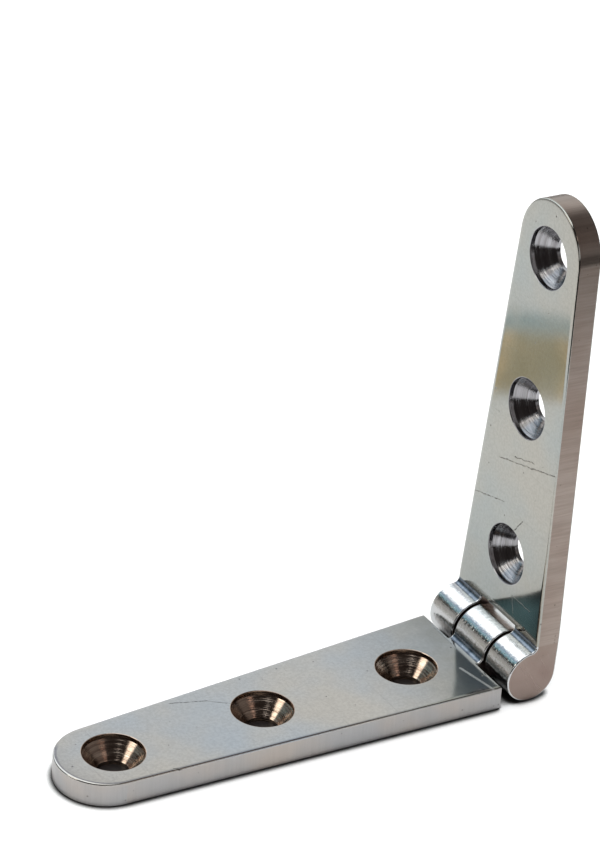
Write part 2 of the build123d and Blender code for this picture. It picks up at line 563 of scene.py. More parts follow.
def leaf_patches(knuckles):
    """All patches of a leaf whose knuckles are (low, high, bore, floor) along the pin."""
    all_ends = {abs(y) for low, high, _, _ in knuckles for y in (low, high)}
    ends = sorted(y for y in all_ends if y < half_width)
    inward = 1 if len(knuckles) > 1 else -1
    root_ends = [y + inward * edge_round for y in ends]
    cells = leaf_cells(root_ends)
    made = []
    for number, cell in enumerate(cells):
        angles = np.append(cell["angles"], cell["angles"][0])
        border = np.concatenate([cell["border"], cell["border"][:1]])
        for face, sign, radius in ((front, 1, head_radius + rim_round), (back, -1, hole_radius)):
            rim = np.stack([cell["centre"] + radius * np.cos(angles), radius * np.sin(angles)], 1)
            fan = rim + np.linspace(0, 1, FAN_ROWS)[:, None, None] * (border - rim)
            made.append(face_patch(fan[..., 0], fan[..., 1], face, sign))
        made += screw_hole(cell, number)
    first = cells[0]["border"]
    root_y = np.unique(np.round(first[np.isclose(first[:, 0], flat_root), 1], 9))
    outer = inward > 0
    for edge in side_runs(cells, None if outer else np.array([-1, 1])):
        made += whole_edge(edge)
    reach = root_ends[0]
    stretches = [(-reach, reach, -1)] if outer else [(reach, flat_side, 1), (-flat_side, -reach, -1)]
    for low, high, sign in stretches:
        y = root_y[(root_y > low - TOUCH) & (root_y < high + TOUCH)]
        ends_mitre = [(-1, 1), (-1, -1)] if outer else [(-1, sign), (-1, sign)]
        points = np.stack([np.full(len(y), flat_root), y], 1)
        made += whole_edge(run(points, [-1, 0], start=ends_mitre[0], end=ends_mitre[1]))
    for low, high, bore, floor in knuckles:
        flush_low, flush_high = low <= -half_width + TOUCH, high >= half_width - TOUCH
        made += knuckle(low, high, bore, root_y, flush_low, flush_high, floor)
    return made


centre_bore = pin_radius + running_clearance
half_notch = half_centre + knuckle_gap
fixed_knuckles = [(-half_centre, half_centre, centre_bore, None)]
swing_knuckles = [
    (half_notch, half_width, pin_radius, None),
    (-half_width, -half_notch, pin_radius, -half_width + blind_end),
]
print("patches", len(leaf_patches(fixed_knuckles)), "and", len(leaf_patches(swing_knuckles)))

# %% [markdown]
# The leaf's own directions are turned into the scene's here: out of the countersunk face,
# along the pin, and from the pin to the middle screw. The mesh is filled as whole arrays. It
# carries a finish number on each face, the working coordinate on each corner, and the true
# directions as custom normals. Each leaf rides on its body and takes the CAD leaf's place.

# %% The two leaves
def leaf_axes(name):
    """Directions along, across and out of a leaf, from its back face and middle screw."""
    out = -np.array(mounts[f"{name}_back_face"]["axis"], dtype=float)
    arm = np.array(mounts[f"{name}_middle_screw"]["pos_m"]) / MM - pin_point
    along = arm - (arm @ out) * out - (arm @ pin_axis) * pin_axis
    return np.stack([along / np.linalg.norm(along), pin_axis, out])


def leaf_object(name, knuckles, node, body):
    """The leaf's patches turned into its place and joined into one closed mesh."""
    axes = leaf_axes(name)
    placed = []
    for piece in leaf_patches(knuckles):
        moved = dict(piece)
        moved["points"] = piece["points"] @ axes + pin_point
        moved["outward"] = piece["outward"] @ axes
        placed.append(moved)
    points, corners, outward, grain, finish = joined(placed)
    mesh = bpy.data.meshes.new(f"{name}_leaf_metal")
    mesh.vertices.add(len(points))
    mesh.vertices.foreach_set("co", (points * MM).ravel())
    mesh.loops.add(corners.size)
    mesh.loops.foreach_set("vertex_index", corners.ravel())
    mesh.polygons.add(len(corners))
    mesh.polygons.foreach_set("loop_start", np.arange(len(corners)) * 3)
    mesh.polygons.foreach_set("material_index", finish)
    mesh.update(calc_edges=True)
    worked = mesh.attributes.new("worked", "FLOAT_VECTOR", "CORNER")
    worked.data.foreach_set("vector", grain.reshape(-1).astype(np.float32))
    outward = outward.reshape(-1, 3)
    outward /= np.linalg.norm(outward, axis=1)[:, None]
    mesh.normals_split_custom_set(outward.tolist())
    made = bpy.data.objects.new(f"{name}_leaf_metal", mesh)
    bpy.context.scene.collection.objects.link(made)
    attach(made, body)
    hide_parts(node)
    print(made.name, "triangles", len(corners), "open edges", open_edges(corners))
    return made


fixed_leaf = leaf_object("fixed", fixed_knuckles, "fixed_leaf", "fixed_leaf")
swing_leaf = leaf_object("swing", swing_knuckles, "swing_leaf", "swing_leaf")

# %% [markdown]
# Materials are built from nodes. Small helpers keep that readable: one adds a node and fills
# or links its inputs by name, two do arithmetic on numbers and on vectors, one turns a value
# into a mask with a soft edge, and others mix colours, lay a tint over a colour and make
# noise. An effect that several finishes share goes into a node group with named inputs.

# %% Node helpers
MIX_SHARE, MIX_FIRST, MIX_SECOND = 0, 6, 7
MIX_RESULT = 2


def add(tree, kind, inputs=(), **settings):
    """A node of that kind. inputs holds (socket, value) pairs, where a value may be a link."""
    made = tree.nodes.new(kind)
    for name, value in settings.items():
        setattr(made, name, value)
    for socket, value in inputs:
        target = made.inputs[socket]
        if isinstance(value, bpy.types.NodeSocket):
            tree.links.new(value, target)
        else:
            target.default_value = value
    return made


def sum_of(tree, operation, *values, clamp=False):
    """One arithmetic node and its result."""
    node = add(tree, "ShaderNodeMath", enumerate(values), operation=operation, use_clamp=clamp)
    return node.outputs[0]


def vector_of(tree, operation, *vectors, output="Vector"):
    """One vector arithmetic node and its result."""
    return add(tree, "ShaderNodeVectorMath", enumerate(vectors), operation=operation).outputs[output]


def ease(tree, value, start, end, low=0.0, high=1.0):
    """A soft step: low up to start, high from end on, as 3x^2 - 2x^3 in between."""
    pairs = [("Value", value), ("From Min", start), ("From Max", end)]
    pairs += [("To Min", low), ("To Max", high)]
    return add(tree, "ShaderNodeMapRange", pairs, interpolation_type="SMOOTHSTEP").outputs[0]


def blend_colours(tree, share, first, second, kind="MIX"):
    """first where share is 0 and second where it is 1."""
    pairs = [(MIX_SHARE, share), (MIX_FIRST, first), (MIX_SECOND, second)]
    mixed = add(tree, "ShaderNodeMix", pairs, data_type="RGBA", blend_type=kind)
    return mixed.outputs[MIX_RESULT]


def lay_over(tree, colour, mask, strength, tint):
    """The colour with a tint over it where the mask is 1, as strong as strength says."""
    return blend_colours(tree, sum_of(tree, "MULTIPLY", mask, strength), colour, (*tint, 1))


def noise(tree, vector, scale, detail=2.0, roughness=0.5):
    """Cloudy noise between about 0 and 1."""
    pairs = [("Vector", vector), ("Scale", scale), ("Detail", detail), ("Roughness", roughness)]
    return add(tree, "ShaderNodeTexNoise", pairs).outputs["Fac"]


def new_group(name, inputs, outputs):
    """An empty node group with named sockets; returns its tree and its two end nodes."""
    tree = bpy.data.node_groups.new(name, "ShaderNodeTree")
    kinds = {"value": "NodeSocketFloat", "vector": "NodeSocketVector", "colour": "NodeSocketColor"}
    for socket, kind in inputs:
        tree.interface.new_socket(socket, in_out="INPUT", socket_type=kinds[kind])
    for socket, kind in outputs:
        tree.interface.new_socket(socket, in_out="OUTPUT", socket_type=kinds[kind])
    return tree, tree.nodes.new("NodeGroupInput"), tree.nodes.new("NodeGroupOutput")


def placed_group(tree, group, pairs):
    """The outputs of a copy of a node group in a tree, with its own values."""
    return add(tree, "ShaderNodeGroup", pairs, node_tree=group).outputs


print("sockets of a colour mix", MIX_SHARE, MIX_FIRST, MIX_SECOND, "to", MIX_RESULT)

# %% [markdown]
# Handling leaves hairline scratches in all directions. Each layer is noise stretched
# fiftyfold one way, cut down to the thin lines where it crosses its middle value, and
# broken up by a second noise so that no line runs on for ever.

# %% Hairlines
HAIR_LAYERS = ((0.35, 0.010), (1.2, 0.012), (2.2, 0.008), (2.8, 0.010))
HAIR_STRETCH = (1.0, 0.02, 1.0)


def make_hairlines():
    """Group: thin broken scratches. Amount says how much of the surface carries them.

    Each layer is 1 where turned and stretched noise is within a width of its middle value.
    """
    tree, start, end = new_group(
        "hairlines", [("Vector", "vector"), ("Scale", "value"), ("Amount", "value")], [("Mask", "value")]
    )
    total = None
    for turned, width in HAIR_LAYERS:
        pairs = [("Vector", start.outputs["Vector"]), ("Rotation", (0, 0, turned)), ("Scale", HAIR_STRETCH)]
        spun = add(tree, "ShaderNodeMapping", pairs).outputs[0]
        lines = noise(tree, spun, start.outputs["Scale"], detail=1.0)
        close = sum_of(tree, "ABSOLUTE", sum_of(tree, "SUBTRACT", lines, 0.5))
        thin = ease(tree, close, 0.0, width, 1.0, 0.0)
        patchy = noise(tree, spun, sum_of(tree, "MULTIPLY", start.outputs["Scale"], 0.9), detail=0.0)
        limit = sum_of(tree, "SUBTRACT", 0.75, sum_of(tree, "MULTIPLY", start.outputs["Amount"], 0.35))
        kept = ease(tree, patchy, limit, sum_of(tree, "ADD", limit, 0.04))
        layer = sum_of(tree, "MULTIPLY", thin, kept)
        total = layer if total is None else sum_of(tree, "MAXIMUM", total, layer)
    tree.links.new(total, end.inputs["Mask"])
    return tree


hairlines = make_hairlines()
print("hairlines has", len(hairlines.nodes), "nodes")

# %% [markdown]
# A milling cutter or a lathe tool leaves fine parallel lines. They are noise that changes
# quickly along one direction of the worked surface and hardly at all along the other.

# %% Tool lines
def make_tool_lines():
    """Group: parallel lines. Vector runs in millimetres with the lines across its first axis."""
    tree, start, end = new_group(
        "tool_lines",
        [("Vector", "vector"), ("Pitch", "value"), ("Drift", "value")],
        [("Height", "value"), ("Tone", "value")],
    )
    drift = start.outputs["Drift"]
    split = add(tree, "ShaderNodeSeparateXYZ", [(0, start.outputs["Vector"])])
    across = sum_of(tree, "DIVIDE", split.outputs[0], start.outputs["Pitch"])
    slow = sum_of(tree, "MULTIPLY", split.outputs[1], drift)
    deep = sum_of(tree, "MULTIPLY", split.outputs[2], drift)
    line = add(tree, "ShaderNodeCombineXYZ", [(0, across), (1, slow), (2, deep)]).outputs[0]
    fine = noise(tree, line, 1.0, detail=3.0, roughness=0.65)
    broad = noise(tree, line, 0.17, detail=1.0)
    tree.links.new(fine, end.inputs["Height"])
    fine_part, broad_part = sum_of(tree, "MULTIPLY", fine, 0.6), sum_of(tree, "MULTIPLY", broad, 0.4)
    tree.links.new(sum_of(tree, "ADD", fine_part, broad_part), end.inputs["Tone"])
    return tree


tool_lines = make_tool_lines()
print("tool_lines has", len(tool_lines.nodes), "nodes")

# %% [markdown]
# Plating is never quite even: it has faint clouds of a warmer or cooler tone, and a few dark
# specks and pin-holes. The specks are small discs at the middles of Voronoi cells. Each cell
# has a random colour, whose first channel says whether it carries a speck and whose second
# says how wide the speck is. Two dimensions are enough, as the working coordinate is flat.

# %% Clouds and specks
SPECK_LEAST = 0.03
SPECK_MORE = 0.06


def make_plating():
    """Group: cloudy tone between 0 and 1, and a mask of small dark specks."""
    tree, start, end = new_group(
        "plating_marks",
        [("Vector", "vector"), ("Cloud Scale", "value"), ("Speck Scale", "value"), ("Specks", "value")],
        [("Cloud", "value"), ("Speck", "value")],
    )
    vector = start.outputs["Vector"]
    cloud = noise(tree, vector, start.outputs["Cloud Scale"], detail=3.0, roughness=0.55)
    tree.links.new(ease(tree, cloud, 0.3, 0.7), end.inputs["Cloud"])
    pairs = [("Vector", vector), ("Scale", start.outputs["Speck Scale"])]
    cells = add(tree, "ShaderNodeTexVoronoi", pairs, voronoi_dimensions="2D")
    chance = add(tree, "ShaderNodeSeparateColor", [(0, cells.outputs["Color"])]).outputs
    rare = sum_of(tree, "GREATER_THAN", start.outputs["Specks"], chance[0])
    radius = sum_of(tree, "MULTIPLY_ADD", chance[1], SPECK_MORE, SPECK_LEAST)
    round_spot = ease(tree, cells.outputs["Distance"], 0.01, radius, 1.0, 0.0)
    tree.links.new(sum_of(tree, "MULTIPLY", rare, round_spot), end.inputs["Speck"])
    return tree


plating_marks = make_plating()
print("plating_marks has", len(plating_marks.nodes), "nodes")

# %% [markdown]
# A deliberate scratch is a line between two points of the leaf. Its mask is one where the
# distance from that line is less than half its width. The distance is the length of what is
# left of the way from the first point, once the part along the line is taken off. Wander
# bends the scratch with noise, and lets more of it break up.

# %% Single scratches
def make_scratch():
    """Group: one straight scratch from From to To in the leaf's millimetres."""
    tree, start, end = new_group(
        "scratch",
        [("Vector", "vector"), ("From", "vector"), ("To", "vector"), ("Width", "value"), ("Wander", "value")],
        [("Mask", "value")],
    )
    place, begin = start.outputs["Vector"], start.outputs["From"]
    wave = noise(tree, place, 0.9, detail=2.0)
    bend = sum_of(tree, "MULTIPLY", wave, start.outputs["Wander"])
    bent = add(tree, "ShaderNodeCombineXYZ", [(0, bend)]).outputs[0]
    way = vector_of(tree, "SUBTRACT", vector_of(tree, "ADD", place, bent), begin)
    line = vector_of(tree, "SUBTRACT", start.outputs["To"], begin)
    along = vector_of(tree, "DOT_PRODUCT", way, line, output="Value")
    square = vector_of(tree, "DOT_PRODUCT", line, line, output="Value")
    share = sum_of(tree, "DIVIDE", along, square, clamp=True)
    pairs = [(0, line), ("Scale", share)]
    on_line = add(tree, "ShaderNodeVectorMath", pairs, operation="SCALE").outputs[0]
    apart = vector_of(tree, "LENGTH", vector_of(tree, "SUBTRACT", way, on_line), output="Value")
    half = sum_of(tree, "MULTIPLY", start.outputs["Width"], 0.5)
    sharp = ease(tree, apart, sum_of(tree, "MULTIPLY", half, 0.2), half, 1.0, 0.0)
    least = sum_of(tree, "SUBTRACT", 1.0, start.outputs["Wander"], clamp=True)
    broken = ease(tree, noise(tree, place, 1.7, detail=2.0), 0.35, 0.5, least)
    tree.links.new(sum_of(tree, "MULTIPLY", sharp, broken), end.inputs["Mask"])
    return tree


scratch = make_scratch()
print("scratch has", len(scratch.nodes), "nodes")

# %% [markdown]
# A polishing wheel takes a little more off near the sides, so the faces roll over towards
# their edges and what they mirror bends there. With d the distance to the outline (to the
# tapering side, or to the round tip beyond its centre), the height is
# -depth * (1 - d / reach)^2, and 0 further in.

# %% Rolled-over faces
def make_cushion():
    """Group: the height in millimetres of a leaf's face, from its own (s, y)."""
    tree, start, end = new_group(
        "cushion", [("Vector", "vector"), ("Depth", "value"), ("Reach", "value")], [("Height", "value")]
    )
    split = add(tree, "ShaderNodeSeparateXYZ", [(0, start.outputs["Vector"])])
    cos, sin = (float(part) for part in taper_normal)
    beyond = sum_of(tree, "SUBTRACT", split.outputs[0], tip_centre)
    aside = sum_of(tree, "ABSOLUTE", split.outputs[1])
    straight = sum_of(tree, "MULTIPLY_ADD", aside, sin, sum_of(tree, "MULTIPLY", beyond, cos))
    plan = add(tree, "ShaderNodeCombineXYZ", [(0, beyond), (1, aside)]).outputs[0]
    round_tip = add(tree, "ShaderNodeVectorMath", [(0, plan)], operation="LENGTH").outputs["Value"]
    at_tip = sum_of(tree, "GREATER_THAN", beyond, 0.0)
    spread = sum_of(tree, "SUBTRACT", round_tip, straight)
    covered = sum_of(tree, "MULTIPLY_ADD", spread, at_tip, straight)
    inward = sum_of(tree, "SUBTRACT", tip_radius, covered)
    share = sum_of(tree, "DIVIDE", inward, start.outputs["Reach"])
    near = sum_of(tree, "SUBTRACT", 1.0, share, clamp=True)
    low = sum_of(tree, "MULTIPLY", sum_of(tree, "MULTIPLY", near, near), start.outputs["Depth"])
    tree.links.new(sum_of(tree, "MULTIPLY", low, -1.0), end.inputs["Height"])
    return tree


cushion = make_cushion()
print("cushion has", len(cushion.nodes), "nodes")

# %% [markdown]
# Every finish starts alike: a fully metallic Principled shader. A pattern reads one of two
# coordinates: the worked one in millimetres, which follows how the surface was machined, or
# the object's own in metres, for what ignores the machining. At the end a finish links its
# colour, its roughness and its bump, so one function does all three.

# %% Metal base
def start_metal(name):
    """A new metallic material: itself and its tree."""
    made = bpy.data.materials.new(name)
    made.use_nodes = True
    made.node_tree.nodes["Principled BSDF"].inputs["Metallic"].default_value = 1.0
    return made, made.node_tree


def worked_place(tree):
    """The working coordinate in millimetres, which the leaf's mesh carries."""
    return add(tree, "ShaderNodeAttribute", attribute_name="worked").outputs["Vector"]


def own_place(tree):
    """The object's own coordinates in metres."""
    return add(tree, "ShaderNodeTexCoord").outputs["Object"]


def finish_metal(tree, colour, rough, height):
    """Link colour and roughness, and a bump whose height is given in millimetres."""
    shader = tree.nodes["Principled BSDF"]
    tree.links.new(colour, shader.inputs["Base Color"])
    tree.links.new(rough, shader.inputs["Roughness"])
    bump = add(tree, "ShaderNodeBump", [("Height", height), ("Strength", 1.0), ("Distance", MM)])
    tree.links.new(bump.outputs[0], shader.inputs["Normal"])


print("shared groups", [group.name for group in bpy.data.node_groups])

# %% [markdown]
# The broad faces are satin-polished and plated: almost a mirror, with soft clouds of tone,
# hairlines that run every way, specks, and on each leaf its own deeper scratches. Next to the
# barrel their colour is darkened as painted shade, most on the lying leaf.

# %% Polished faces
# The first tone and the two distances on the fourth line paint shade next to the barrel.
PAINTED_SHADE_TONE = (0.20, 0.205, 0.19)
DARK_CUT = (0.06, 0.055, 0.05)
PALE_SCUFF = (0.85, 0.86, 0.86)
BARREL_SHADE_FROM, BARREL_SHADE_TO = 6.0, 34.0
ROLLS = ((0.10, 6.0), (0.16, 0.9))
GRAIN_DEPTH = 0.0012
CUT_DEPTH = 0.03


def all_scratches(tree, worked, group, wander):
    """One mask for a group of scratches: the largest of their masks."""
    total = 0.0
    for begin, stop, width in group:
        pairs = [("Vector", worked), ("From", (*begin, 0)), ("To", (*stop, 0)), ("Width", width)]
        pairs.append(("Wander", wander))
        total = sum_of(tree, "MAXIMUM", placed_group(tree, scratch, pairs)[0], total)
    return total


def polished_face(name, cool, warm, barrel_shade, marks, scuffs):
    """Mirror-like plating. marks and scuffs are (from, to, width) in leaf millimetres.

    The number after the two tones says how strongly the colour is darkened next to the barrel,
    as painted shade. The roll of the face toward its sides is the sum of a wide shallow one and
    a narrow steep one.
    """
    made, tree = start_metal(name)
    worked, own = worked_place(tree), own_place(tree)
    pairs = [("Vector", worked), ("Cloud Scale", 0.038), ("Speck Scale", 0.26), ("Specks", 0.16)]
    plating = placed_group(tree, plating_marks, pairs)
    lines = placed_group(tree, hairlines, [("Vector", worked), ("Scale", 1.3), ("Amount", 0.3)])[0]
    grain = noise(tree, own, 1900.0, detail=2.0)
    colour = blend_colours(tree, plating["Cloud"], (*cool, 1), (*warm, 1))
    fine = blend_colours(tree, ease(tree, grain, 0.3, 0.7), (0.9, 0.9, 0.9, 1), (1.0, 1.0, 1.0, 1))
    colour = blend_colours(tree, 1.0, colour, fine, kind="MULTIPLY")
    along = add(tree, "ShaderNodeSeparateXYZ", [(0, worked)]).outputs[0]
    # Painted shade: from the barrel out, the colour turns patchily toward a dark grey film, where the leaves
    # shade each other.
    patchy = ease(tree, noise(tree, own, 70.0, detail=4.0, roughness=0.6), 0.25, 0.75, 0.45, 1.0)
    painted_shade_share = sum_of(tree, "MULTIPLY", ease(tree, along, BARREL_SHADE_FROM, BARREL_SHADE_TO, barrel_shade, 0.0), patchy)
    colour = blend_colours(tree, painted_shade_share, colour, (*PAINTED_SHADE_TONE, 1))
    deep = all_scratches(tree, worked, marks, 0.8)
    pale = all_scratches(tree, worked, scuffs, 0.1)
    dark = sum_of(tree, "MAXIMUM", plating["Speck"], deep)
    worn = sum_of(tree, "MAXIMUM", dark, sum_of(tree, "MULTIPLY", lines, 0.12))
    colour = lay_over(tree, colour, worn, 0.75, DARK_CUT)
    colour = lay_over(tree, colour, pale, 0.28, PALE_SCUFF)
    clean = ease(tree, noise(tree, own, 120.0, detail=4.0), 0.3, 0.75, 0.07, 0.12)
    torn = sum_of(tree, "MULTIPLY", sum_of(tree, "ADD", worn, pale), 0.35)
    height = sum_of(tree, "MULTIPLY", grain, GRAIN_DEPTH)
    for depth, reach in ROLLS:
        pairs = [("Vector", worked), ("Depth", depth), ("Reach", reach)]
        height = sum_of(tree, "ADD", height, placed_group(tree, cushion, pairs)[0])
    height = sum_of(tree, "MULTIPLY_ADD", dark, -CUT_DEPTH, height)
    finish_metal(tree, colour, sum_of(tree, "ADD", clean, torn), height)
    return made


fixed_marks = [
    ((66.9, 9.3), (60.1, 6.9), 0.35),
    ((60.1, 6.9), (56.5, 4.2), 0.25),
    ((76.4, -9.6), (75.2, -10.4), 0.5),
]
fixed_scuffs = [((10.4, -5.0), (8.6, -13.8), 0.9)]
swing_marks = [
    ((38.1, 6.2), (43.4, -11.6), 0.35),
    ((40.6, 1.5), (42.6, -4.9), 0.3),
    ((27.2, 12.6), (30.1, 2.6), 0.25),
    ((25.5, -1.2), (29.2, -3.8), 0.4),
    ((12.8, -3.7), (12.7, -10.0), 0.15),
    ((12.8, -3.7), (9.2, -4.9), 0.12),
]
# The number after the tones sets the painted shade next to the barrel: strong on the lying leaf, weak on the
# standing one.
fixed_face = polished_face(
    "polished_fixed_face", (0.43, 0.465, 0.505), (0.51, 0.485, 0.45), 0.8, fixed_marks, fixed_scuffs
)
swing_face = polished_face(
    "polished_swing_face", (0.41, 0.44, 0.43), (0.46, 0.445, 0.40), 0.25, swing_marks, []
)
print("scratches", len(fixed_marks), "and", len(swing_marks), "scuffs", len(fixed_scuffs))

# %% [markdown]
# The narrow sides still carry the milling lines across the thickness. They scatter light
# along the leaf and look warmer and duller than the polished faces.

# %% Milled sides
SIDE_WARM = (0.30, 0.235, 0.20)
SIDE_PALE = (0.36, 0.30, 0.265)
SIDE_DIRT = (0.1, 0.08, 0.07)
SIDE_ROUGH = 0.3


def milled_side(name, first, second, cut):
    """Fine lines across the thickness, cut millimetres deep, with slow changes of tone."""
    made, tree = start_metal(name)
    worked = worked_place(tree)
    lines = placed_group(tree, tool_lines, [("Vector", worked), ("Pitch", 0.4), ("Drift", 0.12)])
    pairs = [("Vector", worked), ("Cloud Scale", 0.05), ("Speck Scale", 0.3), ("Specks", 0.2)]
    plating = placed_group(tree, plating_marks, pairs)
    colour = blend_colours(tree, plating["Cloud"], (*first, 1), (*second, 1))
    tone = ease(tree, lines["Tone"], 0.3, 0.7, 1.0 - 30 * cut, 1.0 + 16 * cut)
    tone = add(tree, "ShaderNodeCombineColor", [(0, tone), (1, tone), (2, tone)]).outputs[0]
    colour = blend_colours(tree, 1.0, colour, tone, kind="MULTIPLY")
    colour = lay_over(tree, colour, plating["Speck"], 0.6, SIDE_DIRT)
    rough = ease(tree, lines["Tone"], 0.2, 0.8, SIDE_ROUGH - 6 * cut, SIDE_ROUGH + 6 * cut)
    finish_metal(tree, colour, rough, sum_of(tree, "MULTIPLY", lines["Height"], cut))
    return made


fixed_side = milled_side("milled_fixed_side", (0.49, 0.44, 0.40), (0.42, 0.42, 0.425), 0.002)
swing_side = milled_side("milled_swing_side", SIDE_WARM, SIDE_PALE, 0.006)
print("sides", fixed_side.name, swing_side.name)

# %% [markdown]
# The barrel was turned on a lathe and then plated bright. The faint rings run round it, so
# the bands of light along it have ragged edges.

# %% Turned barrel
BRIGHT_COOL = (0.62, 0.64, 0.66)
BRIGHT_WARM = (0.66, 0.66, 0.65)
BARREL_DIRT = (0.1, 0.09, 0.08)
RING_DEPTH = 0.085


def turned_barrel(name):
    """Rings round the barrel: the lines change along the pin, the second working axis."""
    made, tree = start_metal(name)
    worked = worked_place(tree)
    split = add(tree, "ShaderNodeSeparateXYZ", [(0, worked)]).outputs
    ringed = add(tree, "ShaderNodeCombineXYZ", [(0, split[1]), (1, split[0])]).outputs[0]
    rings = placed_group(tree, tool_lines, [("Vector", ringed), ("Pitch", 0.45), ("Drift", 0.7)])
    pairs = [("Vector", worked), ("Cloud Scale", 0.09), ("Speck Scale", 0.42), ("Specks", 0.12)]
    plating = placed_group(tree, plating_marks, pairs)
    colour = blend_colours(tree, plating["Cloud"], (*BRIGHT_COOL, 1), (*BRIGHT_WARM, 1))
    colour = lay_over(tree, colour, plating["Speck"], 0.7, BARREL_DIRT)
    rough = ease(tree, rings["Tone"], 0.3, 0.7, 0.04, 0.1)
    finish_metal(tree, colour, rough, sum_of(tree, "MULTIPLY", rings["Height"], RING_DEPTH))
    return made


barrel = turned_barrel("turned_barrel")
print("barrel finish", barrel.name)

# %% [markdown]
# The countersinks are cut with a rotating tool that leaves rings one below the other. They
# are browner than the faces, because plating is thin in a hollow.

# %% Countersinks
SINK_RING_DEPTH = 0.05


def cut_sink(name, valley, ridge):
    """Rings down the cone: the lines change along the third working axis."""
    made, tree = start_metal(name)
    split = add(tree, "ShaderNodeSeparateXYZ", [(0, worked_place(tree))]).outputs
    order = [(0, split[2]), (1, split[0]), (2, split[1])]
    ringed = add(tree, "ShaderNodeCombineXYZ", order).outputs[0]
    rings = placed_group(tree, tool_lines, [("Vector", ringed), ("Pitch", 0.26), ("Drift", 0.2)])
    colour = blend_colours(tree, ease(tree, rings["Tone"], 0.3, 0.7), (*valley, 1), (*ridge, 1))
    rough = ease(tree, rings["Tone"], 0.3, 0.7, 0.08, 0.18)
    finish_metal(tree, colour, rough, sum_of(tree, "MULTIPLY", rings["Height"], SINK_RING_DEPTH))
    return made


fixed_sink = cut_sink("bronzed_countersink", (0.26, 0.18, 0.14), (0.66, 0.55, 0.46))
swing_sink = cut_sink("grey_countersink", (0.22, 0.21, 0.215), (0.52, 0.52, 0.54))
print("countersinks", fixed_sink.name, swing_sink.name)

# %% [markdown]
# In the narrow hollows between barrel and leaf the colour is painted dark and bluish as shade,
# clouded by noise, and the metal there is a little rough.

# %% Hollows
HOLLOW_SHADE_DARK = (0.09, 0.11, 0.14)
HOLLOW_SHADE_PALE = (0.22, 0.26, 0.31)
HOLLOW_BUMP_DEPTH = 0.02


def shaded_hollow(name):
    """Dark bluish painted shade, clouded by noise, a little rough."""
    made, tree = start_metal(name)
    cloud = noise(tree, own_place(tree), 420.0, detail=4.0, roughness=0.6)
    # Painted shade: both tones are dark, so the hollows look shaded under any light.
    colour = blend_colours(tree, ease(tree, cloud, 0.35, 0.7), (*HOLLOW_SHADE_DARK, 1), (*HOLLOW_SHADE_PALE, 1))
    rough = ease(tree, cloud, 0.3, 0.7, 0.16, 0.3)
    finish_metal(tree, colour, rough, sum_of(tree, "MULTIPLY", cloud, HOLLOW_BUMP_DEPTH))
    return made


hollow = shaded_hollow("shaded_hollow")
print("hollow finish", hollow.name)

# %% [markdown]
# The ends of the barrel and of the pin are ground flat: very fine straight lines one way. On
# the leaf's side of a knuckle there is no border to the milled side, so the end's colour
# passes over into the side's with the distance from the pin.

# %% Ground ends
END_WARM = (0.27, 0.20, 0.175)
END_PALE = (0.32, 0.25, 0.22)
END_DIRT = (0.12, 0.10, 0.09)
GRIND_TILT = 0.5
END_TO_SIDE = 8.0
GRIND_DEPTH = 0.006


def ground_end(name):
    """Fine straight lines in the object's own directions, tilted across the end."""
    made, tree = start_metal(name)
    worked = worked_place(tree)
    pairs = [("Vector", own_place(tree)), ("Rotation", (0, GRIND_TILT, 0)), ("Scale", [1 / MM] * 3)]
    tilted = add(tree, "ShaderNodeMapping", pairs).outputs[0]
    lines = placed_group(tree, tool_lines, [("Vector", tilted), ("Pitch", 0.22), ("Drift", 0.1)])
    pairs = [("Vector", worked), ("Cloud Scale", 0.12), ("Speck Scale", 0.5), ("Specks", 0.25)]
    plating = placed_group(tree, plating_marks, pairs)
    out = add(tree, "ShaderNodeSeparateXYZ", [(0, worked)]).outputs[0]
    to_leaf = ease(tree, out, 0.0, END_TO_SIDE)
    first = blend_colours(tree, to_leaf, (*END_WARM, 1), (*SIDE_WARM, 1))
    second = blend_colours(tree, to_leaf, (*END_PALE, 1), (*SIDE_PALE, 1))
    colour = blend_colours(tree, plating["Cloud"], first, second)
    colour = lay_over(tree, colour, plating["Speck"], 0.5, END_DIRT)
    rough = ease(tree, lines["Tone"], 0.2, 0.8, 0.24, 0.38)
    finish_metal(tree, colour, rough, sum_of(tree, "MULTIPLY", lines["Height"], GRIND_DEPTH))
    return made


end = ground_end("ground_end")
print("end finish", end.name)

# %% [markdown]
# A leaf has six material slots, in the order of the finish numbers that its faces carry:
# face, side, barrel, sink, end, hollow. The pin is the CAD part itself, of which only a
# round end shows, so it takes the ground finish in place of its plain colour.

# %% Putting the finishes on
for leaf, own_finishes in (
    (fixed_leaf, [fixed_face, fixed_side, barrel, fixed_sink, end, hollow]),
    (swing_leaf, [swing_face, swing_side, barrel, swing_sink, end, hollow]),
):
    for finish in own_finishes:
        leaf.data.materials.append(finish)
pin_node = frame["nodes"]["hinge_pin"]
pin_node.data.materials.clear()
pin_node.data.materials.append(end)
print("finishes", [m.name for m in swing_leaf.data.materials])

# %% [markdown]
# The hinge stands on a sheet of white board, which is only a stage and no part of the hinge.

# %% Floor
BOARD = {"left": -0.35, "right": 0.35, "front": -0.17, "rear": 0.40}
floor_mesh = bpy.data.meshes.new("floor")
floor_corners = [
    (BOARD["left"], BOARD["front"], 0),
    (BOARD["right"], BOARD["front"], 0),
    (BOARD["right"], BOARD["rear"], 0),
    (BOARD["left"], BOARD["rear"], 0),
]
floor_mesh.from_pydata(floor_corners, [], [(0, 1, 2, 3)])
floor = bpy.data.objects.new("floor", floor_mesh)
bpy.context.scene.collection.objects.link(floor)
print("board is", round(BOARD["right"] - BOARD["left"], 3), "m wide")

